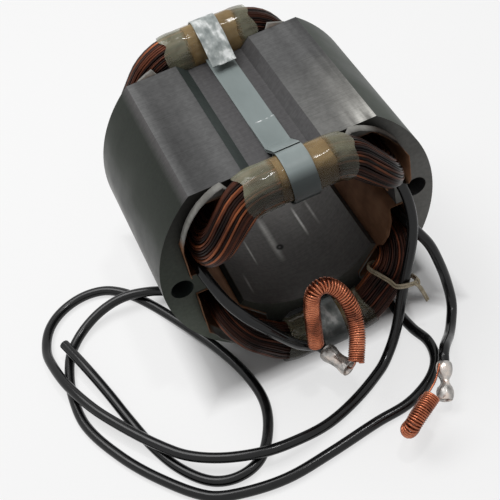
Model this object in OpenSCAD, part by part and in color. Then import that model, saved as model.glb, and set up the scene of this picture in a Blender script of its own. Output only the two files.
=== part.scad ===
// Wound stator of a two-pole commutator motor: laminated core, two field coils, leads and brush terminals
// X runs from screw hole to screw hole, Y along the bore from the lead end to the rear, Z up through the poles
// Origin on the bore axis at the middle of the stack, all sizes in millimetres

/* [Core] */
// outer diameter of the stack
core_d = 83; // [70:0.5:100]
// distance between the upper and the lower flat
flats = 63.5; // [58:0.5:76]
// length of the stack
stack_l = 51; // [30:0.5:80]
// bore diameter
bore_d = 50.6; // [46:0.1:54]
// width of the outer groove at its mouth
groove_w = 23; // [18:0.5:28]
// width of the groove floor
groove_floor_w = 16.8; // [12:0.1:17.5]
// depth of the outer groove
groove_depth = 2.9; // [1:0.1:3.5]
// diameter of a screw hole
screw_d = 6.6; // [4:0.1:8]
// distance from the middle of a screw hole to the outer diameter
screw_edge = 5.5; // [5:0.1:7]

/* [Slots] */
// wall between a slot and the outer diameter
yoke_t = 4.3; // [3.5:0.1:5.5]
// wall between a slot and the flat above it
roof_t = 4.35; // [3.5:0.05:6]
// distance from the middle of a screw hole to the slot wall beside it
slot_inset = 3; // [2.5:0.1:4]
// wall between a screw hole and the bore side of its boss
boss_t = 3.1; // [2:0.1:4]
// height of a slot's end over the edge of the screw hole
boss_rise = 0.3; // [0.1:0.1:2]
// half width of the pole neck
neck_half = 15; // [12:0.1:16]
// drop of the pole shoulder under the bore radius
shoulder_drop = 0.5; // [0:0.1:2]
// angle of a pole tip above the X axis
tip_angle = 36.5; // [30:0.5:42]
// thickness of a pole tip
tip_t = 1.9; // [1:0.1:3]

/* [Slot liners] */
// thickness of the liner paper
paper_t = 0.35; // [0.2:0.05:0.5]
// gap between liner and slot
liner_gap = 0.15; // [0.05:0.05:0.3]
// how far a liner cuff stands out of the stack
cuff_l = 4; // [1:0.1:5]
// distance of a cuff from the ends of the wall that it stands on
cuff_foot = 2.4; // [1:0.1:4]
// distance of the outer cuff from the slot's top
cuff_head = 8.9; // [8:0.1:14]
// how far the crown of a liner's lip stands over the slot's outer wall
lip_rise = 1.3; // [1:0.1:2]
// radius of the lip's curve
lip_r = 21.5; // [18:0.5:26]
// angle of the lip's crown above the X axis
lip_angle = 46; // [42:1:48]
// half of the angle that a lip spans
lip_half = 15; // [10:1:16]
// how far a lip stands out at the front
lip_front = 3.2; // [1:0.1:3.4]
// how far a lip stands out at the rear
lip_rear = 1.3; // [1:0.1:1.4]

/* [Coils] */
// space beside a coil side, across its slot
side_gap = 2.2; // [1.8:0.05:2.6]
// space at each end of a coil side, along its slot
side_room = 3.6; // [3.5:0.1:6]
// shift of a coil side from the middle of its slot towards the bore
side_shift = 0.9; // [0.5:0.05:1.2]
// rise of a coil side above the middle of its slot
side_rise = 1.8; // [1.4:0.1:2.3]
// lean of a coil side in its slot
lean = 26; // [22:1:30]
// drop of the front coil ends under the flats
front_drop = 0.25; // [0:0.05:1]
// radius of the bundle in the front coil ends
front_r = 5.7; // [5:0.1:6.2]
// radius of the bend from a coil side into a front coil end
front_bend = 9; // [8:0.1:12]
// gap between the front face and the wrapped coil ends
front_gap = 1; // [0.8:0.1:3]
// rise of the rear coil ends above the flats
rear_rise = 0.75; // [0:0.05:2]
// radius of the bundle in the rear coil ends
rear_r = 4.7; // [4:0.1:5.2]
// radius of the bend from a coil side into a rear coil end
rear_bend = 12.3; // [9:0.1:14]
// gap between the rear face and the wrapped coil ends
rear_gap = 0.9; // [0.8:0.1:3]
// depth of the grooves between neighbouring wires, as a share of the bundle
wire_groove = 0.07; // [0.02:0.01:0.1]

/* [Wraps] */
// gap between bundle, tape, film and strap
wrap_gap = 0.05; // [0.02:0.01:0.1]
// thickness of the tan tape
tape_t = 0.3; // [0.2:0.05:0.35]
// left end of the tan tape
tape_x0 = -5.5; // [-9:0.5:-3]
// right end of the tan tape
tape_x1 = 9.5; // [7:0.5:11]
// thickness of the clear film
film_t = 0.3; // [0.2:0.05:0.35]
// angle by which the film follows the bend of the bundle at each end
film_bend = 24; // [10:1:30]
// width of the strap
strap_w = 7.6; // [5:0.1:10]
// X of the middle of the strap
strap_x = 1.4; // [-2:0.1:3]
// thickness of the strap
strap_t = 0.4; // [0.2:0.05:0.5]
// distance from a face of the stack to where the strap leaves the groove floor
strap_run = 6.5; // [5:0.5:9]
// distance from the front face to the end of the strap's lapped layer
lap_run = 18; // [14:0.5:22]
// height of the strap's cut end over the groove floor
flap_rise = 2.6; // [2:0.1:3]

/* [Leads] */
// outer diameter of a lead
lead_d = 3.1; // [2.5:0.1:3.2]
// outer diameter of a crimp ferrule
ferrule_d = 4.6; // [4:0.1:4.8]
// diameter of the open end of a ferrule
ferrule_bore = 2.8; // [2:0.1:3]
// depth of the crimp in a ferrule
crimp = 0.5; // [0.1:0.05:0.5]
// outer diameter of a spring terminal
spring_d = 4.7; // [4:0.1:4.8]
// wire diameter of a spring terminal
spring_wire = 0.9; // [0.6:0.1:1]
// thickness of the lacing cord
tie_d = 1.2; // [0.8:0.1:1.3]
// gap between the end of a lead and its ferrule
butt_gap = 0.05; // [0.04:0.01:0.1]

/* [Hidden] */
hole_spacing = core_d - 2 * screw_edge;
flat_z = flats / 2;
half_l = stack_l / 2;
floor_z = flat_z - groove_depth;
slot_r = core_d / 2 - yoke_t;
slot_x = hole_spacing / 2 - slot_inset;
slot_top = flat_z - roof_t;
boss_half = screw_d / 2 + boss_rise;
boss_x = hole_spacing / 2 - screw_d / 2 - boss_t;
shoulder_z = bore_d / 2 - shoulder_drop;
tip_r = bore_d / 2 + tip_t;
tip = tip_r * [cos(tip_angle), sin(tip_angle)];
flap_foot = [tip_r, boss_half];
flap_slope = (flap_foot[0] - tip[0]) / (tip[1] - flap_foot[1]);
slot_middle = (slot_x + tip[0]) / 2;
side_top = min(slot_top, sqrt(slot_r * slot_r - slot_middle * slot_middle));
side_b = (side_top - boss_half) / 2 - side_room;
side_z = (side_top + boss_half) / 2 + side_rise;
side_in = tip[0] + max(0, tip[1] - side_z) * flap_slope;
side_a = (slot_x - side_in) / 2 - side_gap;
side_x = (slot_x + side_in) / 2 - side_shift;
straight_x = max(tape_x1, -tape_x0);
lip_middle = (slot_r + lip_rise - lip_r) * [cos(lip_angle), sin(lip_angle)];
tape_front_r = front_r + wrap_gap + tape_t;
tape_rear_r = rear_r + wrap_gap + tape_t;
film_front_r = tape_front_r + wrap_gap + film_t;
film_rear_r = tape_rear_r + wrap_gap + film_t;
front_out = film_front_r + front_gap;
rear_out = film_rear_r + rear_gap;
front_z = flat_z - front_drop;
rear_z = flat_z + rear_rise;
front_y = -half_l - front_out;
rear_y = half_l + rear_out;
strap_lift = half_l - strap_run;
lap_angle = 205;
join = 0.1;
film_step = 0.02;
coil_sides = 36;
end_bulge = 1.04;

// short brush lead out of the upper left slot
brush_left_route = [
  [-30.3, -14, 8], [-30, -26, 7], [-29, -30.5, 4.3], [-27, -36, 0.3],
  [-23.6, -40, -4.8], [-19.6, -41.8, -10.4], [-15.8, -42.2, -16.6], [-12.2, -42, -22.4],
  [-9.8, -41.5, -25.4], [-7.6, -41.7, -26.9], [-6.1, -42.8, -27.2], [-5.4, -44.5, -27.3]
];
// short brush lead out of the lower right slot
brush_right_route = [
  [30.3, -14, -8], [30.4, -26.5, -7.8], [31.4, -32, -9], [34.3, -35, -14.6],
  [36, -37.4, -22], [37, -39.2, -29.5], [36.4, -42.6, -35.4], [33, -48, -36.8], [30, -52.2, -35.4],
  [27.4, -55.6, -32.6], [25.3, -58.4, -30.4], [23.6, -60.8, -29.9], [22.7, -62.5, -30.5]
];
// long supply lead out of the upper right slot, seen from end to end
supply_right_route = [
  [30.3, -14, 8], [30.6, -26, 6.6], [30.9, -30.5, 2.6], [30, -34.4, -2.8],
  [27.5, -37.6, -8.4], [22.2, -41.2, -19.6], [17.2, -45, -30.6],
  [13, -48, -35.4], [7.3, -52.2, -36.8], [-2.3, -57.3, -36.8], [-13.2, -61.2, -36.4],
  [-23.4, -62.9, -34.6], [-34, -62.4, -33.4], [-46.4, -57.6, -33.4], [-55.8, -50.2, -33.4],
  [-69.9, -29.4, -33.4], [-76.6, -14.5, -33.4], [-79.4, -2, -34.8],
  [-79.6, 6, -36.4], [-76.4, 14, -36.8], [-70, 19.2, -36.8], [-61.6, 21, -36.8], [-54, 18.6, -36.8],
  [-46.4, 10, -36.8], [-34.6, -13.3, -36.8], [-30, -25, -36.8], [-27.2, -35.6, -36.8],
  [-26.6, -45.6, -36.8], [-29.4, -54.6, -36.8], [-35, -62, -36.8], [-42.4, -64.2, -36.8],
  [-49.6, -61.8, -36.8], [-56, -54.2, -36.8], [-60.6, -44, -36.8], [-64, -32, -36.2], [-66.8, -21, -34.6],
  [-70, -9.6, -33.4], [-73.6, 2.4, -33.2]
];
// long supply lead from under the lower coil, its far end put away under the core
supply_low_route = [
  [19, -14, -36.8], [21.7, -30, -36.8], [21.7, -37, -36.8], [22.6, -44, -36.8],
  [24.2, -50, -36.8], [23.2, -56, -36.8], [19.8, -60.6, -36.8], [14.6, -64, -36.8], [8.2, -66.3, -36.8],
  [-1, -67.2, -36.8], [-17.2, -69.7, -36.8], [-30.9, -71, -36.8], [-44.1, -69, -36.8],
  [-52.4, -65.4, -36.8], [-62.4, -54.2, -36.8], [-70.4, -41.6, -36.8], [-76.4, -27, -36.8],
  [-77, -14.5, -36.8], [-75.4, -5.6, -36.8], [-72.4, 1.6, -36.8], [-66.4, 7.4, -36.2], [-58.6, 10.4, -34.6],
  [-50.6, 10.6, -33.4], [-42.4, 8.4, -33.6], [-34, 5.4, -35.6], [-25, 3.6, -36.8],
  [-4, 5.4, -36.8], [4, 10, -36.8]
];
// ends of the two ferrules, lead side first
ferrule_left_ends = [[-5.4, -44.5, -27.3], [-2, -53.2, -27.9]];
ferrule_right_ends = [[22.7, -62.5, -30.5], [17.7, -71.9, -34]];
// axis of the two bent spring terminals
spring_left_route = [
  [-8.4, -47.6, -18.7], [-7.7, -46.7, -11.6], [-6.6, -45.4, -4.4], [-5, -45.1, 0.1], [-1.7, -44.8, 0.4],
  [1.3, -45.8, -2.5], [2.9, -47.9, -6.6], [3.2, -49.9, -11.3], [1.8, -53.6, -14.7], [-1.4, -58.4, -18.7]
];
spring_right_route = [
  [13.2, -69.5, -33.6], [10.7, -71.1, -34.4], [7, -73.5, -34.8], [4, -76.3, -32.4], [3.1, -78.3, -28.6],
  [4.3, -79.1, -25.4], [8, -77.4, -24], [12.4, -75, -23.5]
];
// wire tails from a spring end into the open end of its ferrule
tail_left_route = [
  [-0.6, -57.4, -17.9], [-3, -60.2, -20.6], [-3.2, -59.4, -25.2], [-2, -55.4, -27.6], [-2.3, -52.4, -27.8]
];
tail_right_route = [
  [12.4, -70, -33.8], [14.2, -69.4, -32.4], [15, -72, -33], [16.6, -73.8, -34.4], [18, -71.2, -33.8]
];
// lacing cord round the lower coil and the supply lead, from its knot and back
tie_route = [
  [25.8, -42, -19.3], [22.3, -43.3, -17], [20.1, -41.2, -18.2], [19.4, -38, -18.6], [17.6, -34.6, -18],
  [16.8, -31.6, -18.8], [17.2, -28.6, -20.4], [19.3, -26.3, -22.6], [22.6, -26.3, -24.6], [25.6, -28.4, -26],
  [27.2, -32.4, -25.2], [27.6, -36.8, -23.2], [27.2, -39.8, -21], [25.8, -42, -19.3]
];
// loose end of the lacing cord
tie_tail = [[25.8, -42, -19.3], [26.7, -42.7, -22.1], [27.7, -43, -25.7], [28.1, -43.6, -27.5]];

// Vectors and smooth routes
function unit(v) = v / norm(v);
function mixed(a, b, t) = a + (b - a) * t;
function clamped(p, i) = p[max(0, min(len(p) - 1, i))];
function blend(a, b, c, d, t) =
  0.5 * (2 * b + (c - a) * t + (2 * a - 5 * b + 4 * c - d) * t * t + (3 * b - a - 3 * c + d) * t * t * t);
function smooth(p, k) = concat(
  [for (i = [0 : len(p) - 2], j = [0 : k - 1])
    blend(clamped(p, i - 1), p[i], p[i + 1], clamped(p, i + 2), j / k)],
  [p[len(p) - 1]]
);
function tangents(p) = [for (i = [0 : len(p) - 1]) unit(clamped(p, i + 1) - clamped(p, i - 1))];
function carried(t, i, u) =
  i == len(t) ? [] : let (v = unit(u - (u * t[i]) * t[i])) concat([v], carried(t, i + 1, v));
function side_start(t) = abs(t[2]) < 0.9 ? cross(t, [0, 0, 1]) : cross(t, [1, 0, 0]);

// Round bar along a route; every second ring is smaller by rib
module tube(p, r, n, rib) {
  t = tangents(p);
  u = carried(t, 0, unit(side_start(t[0])));
  m = len(p);
  points = [for (i = [0 : m - 1], k = [0 : n - 1])
    let (w = cross(t[i], u[i]), q = r - rib * (i % 2), a = 360 * k / n)
    p[i] + q * cos(a) * u[i] + q * sin(a) * w];
  sides = [for (i = [0 : m - 2], k = [0 : n - 1], h = [0, 1])
    let (b = i * n + k, c = i * n + (k + 1) % n)
    h == 0 ? [b, b + n, c + n] : [b, c + n, c]];
  ends = [[for (k = [0 : n - 1]) k], [for (k = [n - 1 : -1 : 0]) (m - 1) * n + k]];
  polyhedron(points, concat(sides, ends), convexity = 6);
}

// Places a child drawn along Z from the origin so that it runs from a towards b
module along(a, b) {
  d = b - a;
  translate(a)
    rotate([0, acos(d[2] / norm(d)), atan2(d[1], d[0])])
      children();
}

// Core
module pole_half(i) {
  foot = unit([tip[1] - flap_foot[1], flap_foot[0] - tip[0]]);
  back = unit([shoulder_z - tip[1], tip[0] - neck_half]);
  polygon([
    [0, 0], tip + i * unit(foot + back), [neck_half, shoulder_z] + i * unit(back + [1, 0]),
    [neck_half + i, core_d], [0, core_d]
  ]);
}

module flap_half(i) {
  foot = unit([tip[1] - flap_foot[1], flap_foot[0] - tip[0]]);
  back = unit([shoulder_z - tip[1], tip[0] - neck_half]);
  polygon([
    [0, 0], [flap_foot[0] + boss_half * flap_slope, 0] + i * foot, flap_foot + i * foot,
    tip + i * unit(foot + back), [0, tip[1]]
  ]);
}

module lobe(i) {
  difference() {
    intersection() {
      circle(r = slot_r - i, $fn = 120);
      translate([0, boss_half + i])
        square([slot_x - i, slot_top - boss_half - 2 * i]);
    }
    pole_half(i);
  }
}

module quarters() {
  for (sx = [0, 1], sz = [0, 1])
    mirror([sx, 0])
      mirror([0, sz])
        children();
}

module groove() {
  polygon([
    [-groove_floor_w / 2, floor_z], [groove_floor_w / 2, floor_z],
    [groove_w / 2, flat_z], [groove_w / 2, flat_z + 1],
    [-groove_w / 2, flat_z + 1], [-groove_w / 2, flat_z]
  ]);
}

module core_section() {
  difference() {
    intersection() {
      circle(d = core_d, $fn = 180);
      square([core_d + 2, flats], center = true);
    }
    circle(d = bore_d, $fn = 120);
    quarters() lobe(0);
    square([2 * boss_x, 2 * boss_half + 0.02], center = true);
    for (sz = [0, 1])
      mirror([0, sz])
        groove();
    for (sx = [-1, 1])
      translate([sx * hole_spacing / 2, 0])
        circle(d = screw_d, $fn = 48);
  }
}

module core() {
  color([0.42, 0.43, 0.43])
    rotate([90, 0, 0])
      linear_extrude(stack_l, center = true)
        core_section();
}

// Coil: a run leans from a coil side to the bend of radius b, which ends at height z of the coil end
function tangent_point(p, c, r, side) =
  let (d = c - p, g = atan2(d[1], d[0]) + side * asin(r / norm(d)))
  p + sqrt(norm(d) * norm(d) - r * r) * [cos(g), sin(g)];
function run(z, b) = tangent_point([side_x, side_z], [straight_x, z - b], b, -1) - [side_x, side_z];
function run_lean(z, b) = atan2(-run(z, b)[0], run(z, b)[1]);
function run_total(z, b) = norm(run(z, b)) + b * (90 - run_lean(z, b)) * PI / 180;
function run_angle(s, z, b) = min(90, run_lean(z, b) + max(0, s - norm(run(z, b))) / b * 180 / PI);
function run_pos(s, z, b) =
  let (
    k = min(s, norm(run(z, b))), e = run_lean(z, b), g = run_angle(s, z, b),
    o = max(0, s - run_total(z, b))
  )
  [side_x - sin(e) * k + b * (cos(g) - cos(e)) - o, side_z + cos(e) * k + b * (sin(g) - sin(e))];

// One closed bundle; each station holds arc length, distance from the stack, turn, half sizes
function quarter(z, b, out, r) = concat(
  [[0, -half_l, 0, side_a, side_b], [0, -half_l * 0.4, 0, side_a, side_b]],
  [for (f = [0 : 15 : 90])
    [out * (1 - cos(f)), out * sin(f), f, mixed(side_a, r, f / 180), mixed(min(side_b, out * 0.9), r, f / 110)]],
  [for (k = [1 : 6])
    [mixed(out, run_total(z, b), k / 6), out, 90, mixed(side_a, r, 0.5 + k / 12), mixed(r * end_bulge, r, k / 6)]],
  [[run_total(z, b) + straight_x / 2, out, 90, r, r], [run_total(z, b) + straight_x, out, 90, r, r]]
);

function coil_ring(q, z, b, sx, sy, sz) =
  let (
    p = run_pos(q[0], z, b), g = mixed(lean, run_angle(q[0], z, b), q[2] / 90),
    c = [sx * p[0], sy * (half_l + q[1]), p[1]],
    u = [sx * cos(g), 0, sin(g)],
    w = [-sx * cos(q[2]) * sin(g), -sy * sin(q[2]), cos(q[2]) * cos(g)]
  )
  [for (k = [0 : coil_sides - 1])
    let (a = 360 * k / coil_sides, f = 1 - wire_groove * (k % 2), v = c + f * (q[3] * cos(a) * u + q[4] * sin(a) * w))
    [v[0], v[1], sz * v[2]]];

module coil(sz) {
  front = quarter(front_z, front_bend, front_out, front_r);
  rear = quarter(rear_z, rear_bend, rear_out, rear_r);
  nf = len(front);
  nr = len(rear);
  rings = concat(
    [for (i = [0 : nf - 1]) coil_ring(front[i], front_z, front_bend, 1, -1, sz)],
    [for (i = [nf - 2 : -1 : 1]) coil_ring(front[i], front_z, front_bend, -1, -1, sz)],
    [for (i = [0 : nr - 1]) coil_ring(rear[i], rear_z, rear_bend, -1, 1, sz)],
    [for (i = [nr - 2 : -1 : 1]) coil_ring(rear[i], rear_z, rear_bend, 1, 1, sz)]
  );
  m = len(rings);
  n = coil_sides;
  points = [for (ring = rings, v = ring) v];
  faces = [for (i = [0 : m - 1], k = [0 : n - 1], h = [0, 1])
    let (
      j = (i + 1) % m, l = (k + 1) % n,
      f = h == 0 ? [i * n + k, j * n + k, j * n + l] : [i * n + k, j * n + l, i * n + l]
    )
    sz > 0 ? f : [f[2], f[1], f[0]]];
  color([0.5, 0.24, 0.14])
    polyhedron(points, faces, convexity = 10);
}

module upper_coil() {
  coil(1);
}

module lower_coil() {
  coil(-1);
}

// Slot liners: a folded sleeve round each coil side with cuffs and a turned-out lip at both ends
module sleeve() {
  difference() {
    lobe(liner_gap);
    flap_half(liner_gap);
    difference() {
      lobe(liner_gap + paper_t);
      flap_half(liner_gap + paper_t);
    }
  }
}

module cuffs() {
  foot = boss_half + cuff_foot;
  intersection() {
    sleeve();
    union() {
      translate([slot_middle, foot])
        square([slot_x - slot_middle, slot_top - cuff_head - foot]);
      translate([0, foot])
        square([slot_middle, tip[1] - cuff_foot - foot]);
    }
  }
}

module lip_sector(r) {
  reach = 2 * slot_r;
  intersection() {
    translate(lip_middle)
      circle(r = r, $fn = 120);
    polygon([
      [0, 0],
      reach * [cos(lip_angle - lip_half), sin(lip_angle - lip_half)],
      reach * [cos(lip_angle + lip_half), sin(lip_angle + lip_half)]
    ]);
  }
}

module lip(l) {
  middle = liner_gap + paper_t / 2;
  translate([0, 0, half_l + liner_gap]) {
    linear_extrude(paper_t)
      difference() {
        lip_sector(lip_r + paper_t);
        lobe(middle);
        pole_half(middle);
        flap_half(middle);
      }
    linear_extrude(l - liner_gap)
      difference() {
        lip_sector(lip_r + paper_t);
        lip_sector(lip_r);
        circle(r = slot_r, $fn = 120);
      }
  }
}

module liner(sx, sz) {
  color([0.45, 0.29, 0.18])
    mirror([sx, 0, 0])
      mirror([0, 0, sz])
        rotate([90, 0, 0]) {
          linear_extrude(stack_l + 2 * (liner_gap + paper_t), center = true)
            sleeve();
          linear_extrude(stack_l + 2 * cuff_l, center = true)
            cuffs();
          lip(lip_front);
          mirror([0, 0, 1])
            lip(lip_rear);
        }
}

module liner_upper_left() {
  liner(1, 0);
}

module liner_upper_right() {
  liner(0, 0);
}

module liner_lower_left() {
  liner(1, 1);
}

module liner_lower_right() {
  liner(0, 1);
}

// Tan tape and clear film round the middle of each coil end
module tape(y, z, r) {
  color([0.62, 0.53, 0.38])
    translate([tape_x0, y, z])
      rotate([0, 90, 0])
        difference() {
          cylinder(r = r + wrap_gap + tape_t, h = tape_x1 - tape_x0, $fn = 96);
          translate([0, 0, -1])
            cylinder(r = r + wrap_gap, h = tape_x1 - tape_x0 + 2, $fn = 96);
        }
}

module film_ring(r, i) {
  difference() {
    circle(r = r - i, $fn = 96);
    circle(r = r - film_t + i, $fn = 96);
  }
}

module film(sz, y, z, b, r) {
  color([0.75, 0.74, 0.66])
    mirror([0, 0, sz])
      translate([0, y, z]) {
        rotate([0, 90, 0])
          linear_extrude(2 * straight_x, center = true)
            film_ring(r, 0);
        for (sx = [0, 1])
          mirror([sx, 0, 0])
            translate([straight_x, 0, -b])
              rotate([90, 0, 0])
                rotate([0, 0, 90 - film_bend])
                  rotate_extrude(angle = film_bend + asin(join / b), $fn = 96)
                    translate([b, 0])
                      film_ring(r, film_step);
      }
}

module tape_upper_front() {
  tape(front_y, front_z, front_r);
}

module tape_upper_rear() {
  tape(rear_y, rear_z, rear_r);
}

module tape_lower_front() {
  tape(front_y, -front_z, front_r);
}

module tape_lower_rear() {
  tape(rear_y, -rear_z, rear_r);
}

module film_upper_front() {
  film(0, front_y, front_z, front_bend, film_front_r);
}

module film_upper_rear() {
  film(0, rear_y, rear_z, rear_bend, film_rear_r);
}

module film_lower_front() {
  film(1, front_y, front_z, front_bend, film_front_r);
}

module film_lower_rear() {
  film(1, rear_y, rear_z, rear_bend, film_rear_r);
}

// Strap: lies on the groove floor, loops round both coil ends and laps over itself at the front
module bar(p, q, layers = 1) {
  n = unit([p[1] - q[1], q[0] - p[0]]);
  t = layers * strap_t;
  polygon([p, q, q + t * n, p + t * n]);
}

module loop(c, r) {
  translate(c)
    difference() {
      circle(r = r + strap_t, $fn = 96);
      circle(r = r, $fn = 96);
    }
}

module strap_section() {
  base = floor_z + wrap_gap;
  front_c = [front_y, front_z];
  rear_c = [rear_y, rear_z];
  rf = film_front_r + wrap_gap;
  rr = film_rear_r + wrap_gap;
  lift_f = [-strap_lift, base];
  lift_r = [strap_lift, base];
  flap_end = [strap_lift - strap_t, floor_z + flap_rise];
  loop(front_c, rf);
  loop(rear_c, rr);
  bar(lift_f - [join, 0], lift_r + [join, 0]);
  bar(lift_f, [lap_run - half_l, base], 2);
  bar(tangent_point(lift_f, front_c, rf, -1) - [join / 2, 0], lift_f, 2);
  bar(lift_r, rear_c + (rr + strap_t * 0.3) * [cos(lap_angle), sin(lap_angle)]);
  bar(flap_end, tangent_point(flap_end, rear_c, rr, 1) + [join / 2, 0]);
}

module strap(sz) {
  color([0.62, 0.66, 0.65])
    mirror([0, 0, sz])
      translate([strap_x - strap_w / 2, 0, 0])
        rotate([90, 0, 90])
          linear_extrude(strap_w)
            strap_section();
}

module upper_strap() {
  strap(0);
}

module lower_strap() {
  strap(1);
}

// Leads
module lead(route) {
  color([0.06, 0.06, 0.06])
    tube(route, lead_d / 2, 8, 0);
}

module brush_lead_left() {
  lead(brush_left_route);
}

module brush_lead_right() {
  lead(brush_right_route);
}

module supply_lead_right() {
  lead(supply_right_route);
}

module supply_lead_low() {
  lead(supply_low_route);
}

// Ferrules with a crimped waist and an open end
module ferrule(ends) {
  start = ends[0] + butt_gap * unit(ends[1] - ends[0]);
  l = norm(ends[1] - start);
  r = ferrule_d / 2;
  color([0.72, 0.7, 0.68])
    along(start, ends[1])
      rotate_extrude($fn = 48)
        polygon([
          [0, 0], [r - crimp, 0], [r, crimp * 2], [r, l * 0.3], [r - crimp, l * 0.45], [r - crimp, l * 0.58],
          [r, l * 0.8], [r, l],
          [ferrule_bore / 2, l], [ferrule_bore / 2, l * 0.6], [0, l * 0.6]
        ]);
}

module ferrule_left() {
  ferrule(ferrule_left_ends);
}

module ferrule_right() {
  ferrule(ferrule_right_ends);
}

// Spring terminals: a close-wound spring bent into a bow, its wire tail in the ferrule
module spring(route, tail, k) {
  color([0.72, 0.38, 0.24]) {
    tube(smooth(route, k), spring_d / 2, 10, spring_wire * 0.4);
    tube(tail, spring_wire / 2, 6, 0);
  }
}

module spring_left() {
  spring(spring_left_route, tail_left_route, 11);
}

module spring_right() {
  spring(spring_right_route, tail_right_route, 10);
}

// Lacing cord round the lower coil and the supply lead, with its knot and tail
module lacing_tie() {
  color([0.72, 0.66, 0.54]) {
    tube(smooth(tie_route, 2), tie_d / 2, 6, 0);
    translate(tie_route[0])
      sphere(r = tie_d * 1.1, $fn = 24);
    tube(tie_tail, tie_d / 2, 6, 0);
  }
}

core();
upper_coil();
lower_coil();
liner_upper_left();
liner_upper_right();
liner_lower_left();
liner_lower_right();
tape_upper_front();
tape_upper_rear();
tape_lower_front();
tape_lower_rear();
film_upper_front();
film_upper_rear();
film_lower_front();
film_lower_rear();
upper_strap();
lower_strap();
brush_lead_left();
brush_lead_right();
supply_lead_right();
supply_lead_low();
ferrule_left();
ferrule_right();
spring_left();
spring_right();
lacing_tie();
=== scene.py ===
import math
import random

import bmesh
import bpy
from mathutils import Matrix, Vector, noise


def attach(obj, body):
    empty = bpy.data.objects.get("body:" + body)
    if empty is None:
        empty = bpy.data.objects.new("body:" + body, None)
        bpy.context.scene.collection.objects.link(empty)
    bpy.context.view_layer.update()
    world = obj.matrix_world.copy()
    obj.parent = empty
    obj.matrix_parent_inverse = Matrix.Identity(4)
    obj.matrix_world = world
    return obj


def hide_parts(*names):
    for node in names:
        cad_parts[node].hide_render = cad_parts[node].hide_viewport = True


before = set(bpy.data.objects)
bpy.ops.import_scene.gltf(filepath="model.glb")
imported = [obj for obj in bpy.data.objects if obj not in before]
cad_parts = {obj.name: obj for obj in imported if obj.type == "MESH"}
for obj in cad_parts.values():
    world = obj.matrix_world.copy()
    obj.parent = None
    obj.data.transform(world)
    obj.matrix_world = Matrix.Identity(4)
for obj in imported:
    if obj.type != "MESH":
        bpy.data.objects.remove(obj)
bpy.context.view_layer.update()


# View, table and light. The stator lies on a plain pale table and is seen from in front of the lead end,
# well above it and a little to the left, with the camera turned about its own axis. A large soft lamp
# hangs overhead to the left, a small one to the right makes the glints, and white surroundings fill in the rest.
mm = 0.001
table_z = -38.36
scene = bpy.context.scene
scene.view_settings.view_transform = "Standard"

azimuth, elevation, roll = (math.radians(a) for a in (-11.566, 47.826, -15.147))
back = Vector((
    math.sin(azimuth) * math.cos(elevation), -math.cos(azimuth) * math.cos(elevation), math.sin(elevation)))
level = Vector((math.cos(azimuth), math.sin(azimuth), 0))
across = level * math.cos(roll) + back.cross(level) * math.sin(roll)
camera_data = bpy.data.cameras.new("photo_view")
camera_data.lens = 76.135
camera_data.sensor_width = 36
camera_data.clip_start = 0.01
camera = bpy.data.objects.new("photo_view", camera_data)
camera.matrix_world = (
    Matrix.Translation(Vector((-53.9, -216.1, 218.4)) * mm)
    @ Matrix((across, back.cross(across), back)).transposed().to_4x4())
scene.collection.objects.link(camera)
scene.camera = camera


def lamp(name, place, size, power):
    """A square soft lamp at place, turned to the stator, in millimetres; power in watts."""
    data = bpy.data.lights.new(name, "AREA")
    data.size = size * mm
    data.energy = power
    made = bpy.data.objects.new(name, data)
    made.location = Vector(place) * mm
    made.rotation_mode = "QUATERNION"
    made.rotation_quaternion = (-Vector(place)).to_track_quat("-Z", "Y")
    scene.collection.objects.link(made)


lamp("overhead_lamp", (-140, 170, 500), 320, 1.85)
lamp("glint_lamp", (110, -45, 540), 45, 0.52)


def material(name, fixed):
    """A new material: itself, its tree and its shader, whose constant sockets are given in fixed."""
    made = bpy.data.materials.new(name)
    made.use_nodes = True
    shader = made.node_tree.nodes["Principled BSDF"]
    for socket, value in fixed.items():
        shader.inputs[socket].default_value = value
    return made, made.node_tree, shader


def add(tree, kind, inputs=(), **settings):
    """A node in tree; inputs holds constants, or sockets to link from."""
    made = tree.nodes.new("ShaderNode" + kind)
    for key, value in settings.items():
        setattr(made, key, value)
    for key, value in dict(inputs).items():
        if isinstance(value, bpy.types.NodeSocket):
            tree.links.new(value, made.inputs[key])
        else:
            made.inputs[key].default_value = value
    return made


def maths(tree, operation, first, second=0.0):
    """One arithmetic step; gives its value socket."""
    return add(tree, "Math", {0: first, 1: second}, operation=operation).outputs[0]


def ramp(tree, factor, *stops):
    """Colour or grey stops (place, colour) along factor; gives the colour socket."""
    made = add(tree, "ValToRGB", {"Fac": factor})
    elements = made.color_ramp.elements
    while len(elements) < len(stops):
        elements.new(0.5)
    for element, (place, colour) in zip(elements, stops):
        element.position = place
        element.color = (*colour, 1) if hasattr(colour, "__len__") else (colour, colour, colour, 1)
    return made.outputs["Color"]


def between(tree, value, low, high):
    """0 to 1 as a length runs from low to high, in millimetres."""
    return add(tree, "MapRange", {"Value": value, "From Min": low * mm, "From Max": high * mm}).outputs["Result"]


def seen(tree):
    """1 for what the camera sees, directly, mirrored or through something clear."""
    ray = add(tree, "LightPath").outputs
    mirrored = maths(tree, "MAXIMUM", ray["Is Glossy Ray"], ray["Is Transmission Ray"])
    return maths(tree, "MAXIMUM", ray["Is Camera Ray"], mirrored)


world = bpy.data.worlds.new("white_surroundings")
scene.world = world
world.use_nodes = True
tree = world.node_tree
dim = tree.nodes["Background"]
dim.inputs["Color"].default_value = (1, 1, 1, 1)
dim.inputs["Strength"].default_value = 0.22
white = add(tree, "Background", {"Color": (1, 1, 1, 1), "Strength": 1.0})
both = add(tree, "MixShader", {0: seen(tree), 1: dim.outputs[0], 2: white.outputs[0]})
tree.links.new(both.outputs[0], tree.nodes["World Output"].inputs["Surface"])

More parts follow.
